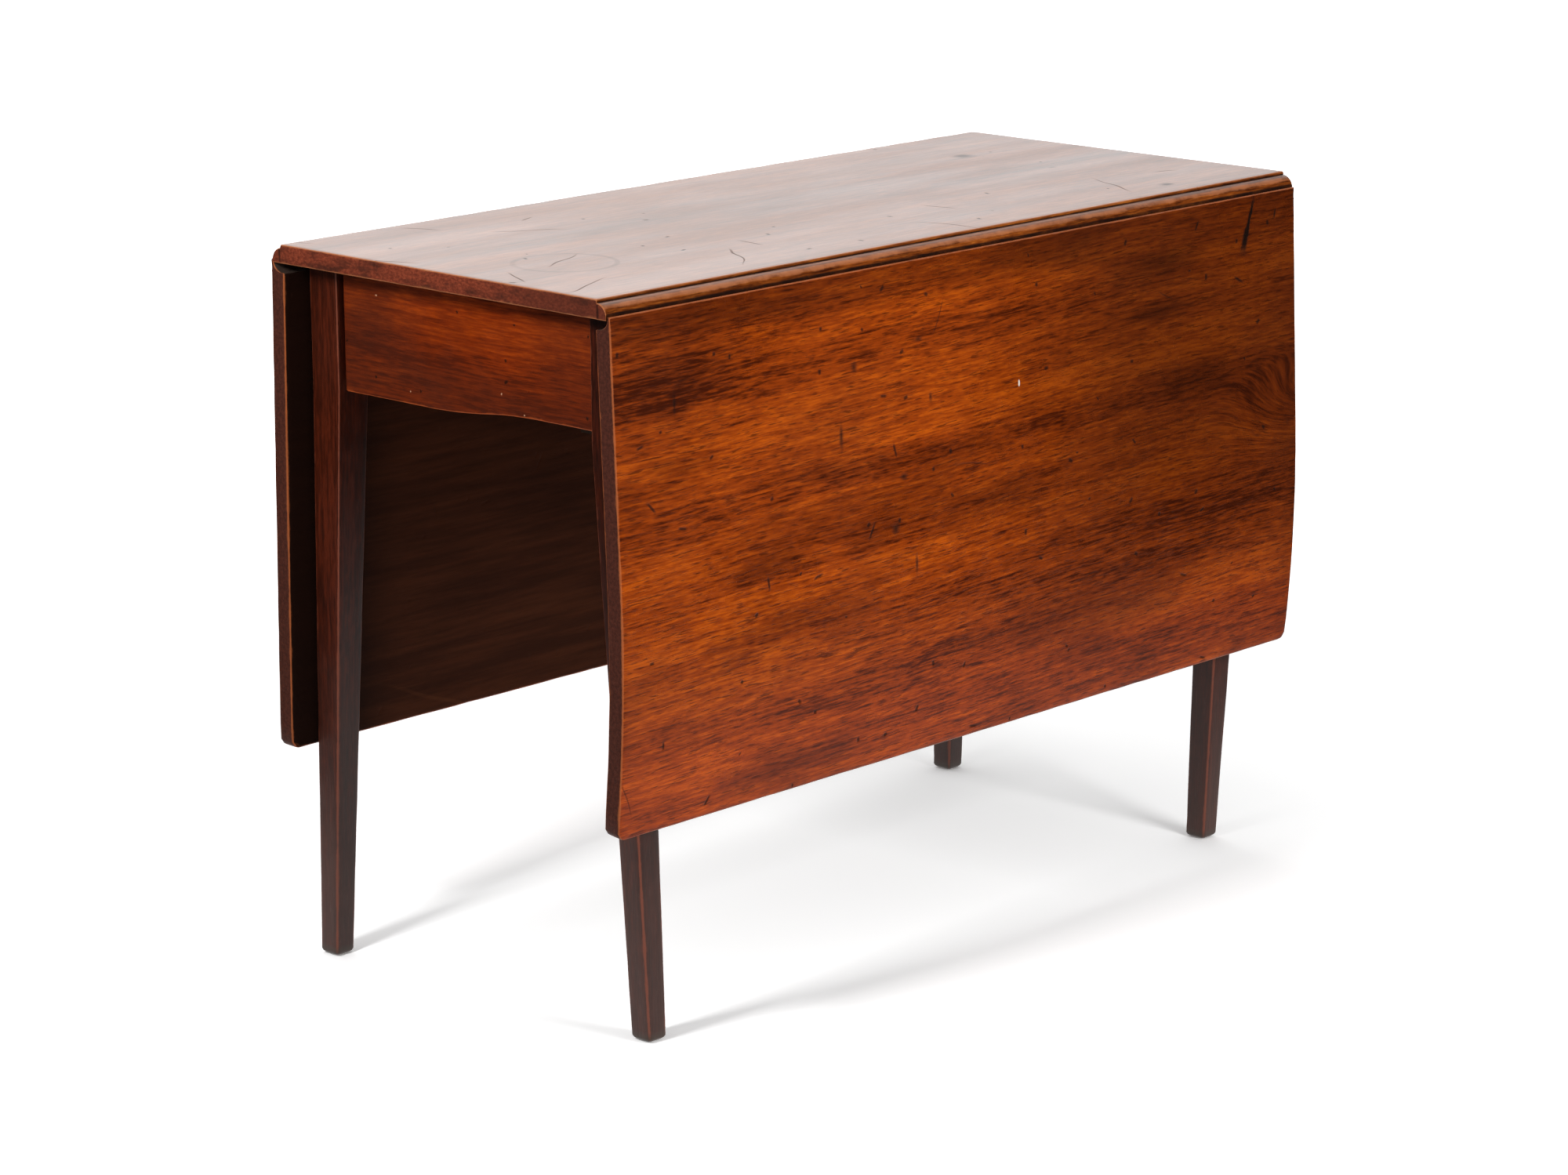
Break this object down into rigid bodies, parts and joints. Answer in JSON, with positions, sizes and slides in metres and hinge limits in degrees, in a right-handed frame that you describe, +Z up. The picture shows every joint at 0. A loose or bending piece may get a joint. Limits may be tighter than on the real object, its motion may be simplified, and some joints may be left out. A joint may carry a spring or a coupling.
{
  "type": "drop leaf table",
  "caption": "Mahogany drop leaf dining table with rule-jointed leaves hanging down and tapered legs, some swinging on wooden knuckles to hold the leaves.",
  "frame": {"origin": "on the floor under the middle of the table's bounding box", "axes": "+X along the hinge lines, +Y towards the rear leaf, +Z up; the front leaf faces -Y"},
  "size_m": [1.004, 0.4868, 0.72],
  "materials": {
    "top_mahogany": "old worn polish, greyed and scratched",
    "leaf_mahogany": "old polish, satin to glossy",
    "apron_mahogany": "old polish, satin",
    "leg_mahogany": "dark polish, rubbed through at the corners",
    "rail_beech": "bare hardwood, darkened with age",
    "softwood": "bare pine, dusty brown with age",
    "peg_oak": "bare oak, end grain",
    "iron": "dark forged iron with light rust"
  },
  "bodies": {
    "frame": {"top_board": "top_mahogany", "left_end_apron": "apron_mahogany", "right_end_apron": "apron_mahogany", "front_left_leg": "leg_mahogany", "rear_right_leg": "leg_mahogany", "front_inner_rail": "softwood", "front_hinge_rail": "rail_beech", "front_knuckle_pin": "iron", "front_rail_screws": "iron", "front_hinge_top_screws": "iron", "front_hinge_top_plate_1": "iron", "front_hinge_pin_1": "iron", "front_hinge_top_plate_2": "iron", "front_hinge_pin_2": "iron", "front_hinge_top_plate_3": "iron", "front_hinge_pin_3": "iron", "rear_inner_rail": "softwood", "rear_hinge_rail": "rail_beech", "rear_knuckle_pin": "iron", "rear_rail_screws": "iron", "rear_hinge_top_screws": "iron", "rear_hinge_top_plate_1": "iron", "rear_hinge_pin_1": "iron", "rear_hinge_top_plate_2": "iron", "rear_hinge_pin_2": "iron", "rear_hinge_top_plate_3": "iron", "rear_hinge_pin_3": "iron", "left_cross_brace": "softwood", "right_cross_brace": "softwood", "corner_glue_blocks": "softwood", "frame_tenon_pegs": "peg_oak", "top_fixing_screws": "iron"},
    "front_leaf": {"front_leaf_board": "leaf_mahogany", "front_hinge_leaf_screws": "iron", "front_hinge_leaf_plate_1": "iron", "front_hinge_leaf_plate_2": "iron", "front_hinge_leaf_plate_3": "iron"},
    "front_gate": {"front_swing_leg": "leg_mahogany", "front_fly_rail": "rail_beech", "front_gate_pegs": "peg_oak"},
    "rear_leaf": {"rear_leaf_board": "leaf_mahogany", "rear_hinge_leaf_screws": "iron", "rear_hinge_leaf_plate_1": "iron", "rear_hinge_leaf_plate_2": "iron", "rear_hinge_leaf_plate_3": "iron"},
    "rear_gate": {"rear_swing_leg": "leg_mahogany", "rear_fly_rail": "rail_beech", "rear_gate_pegs": "peg_oak"}
  },
  "joints": [
    {"name": "front_leaf_lift", "type": "hinge", "parent": "frame", "child": "front_leaf", "pos_m": [0, -0.217, 0.7045], "axis": [-1, 0, 0], "range_deg": [0, 88.5]},
    {"name": "rear_leaf_lift", "type": "hinge", "parent": "frame", "child": "rear_leaf", "pos_m": [0, 0.217, 0.7045], "axis": [1, 0, 0], "range_deg": [0, 88.75]},
    {"name": "front_gate_swing", "type": "hinge", "parent": "frame", "child": "front_gate", "pos_m": [0.06, -0.182, 0.64], "axis": [0, 0, -1], "range_deg": [0, 0.6]},
    {"name": "rear_gate_swing", "type": "hinge", "parent": "frame", "child": "rear_gate", "pos_m": [-0.06, 0.182, 0.64], "axis": [0, 0, -1], "range_deg": [0, 0.6]}
  ]
}
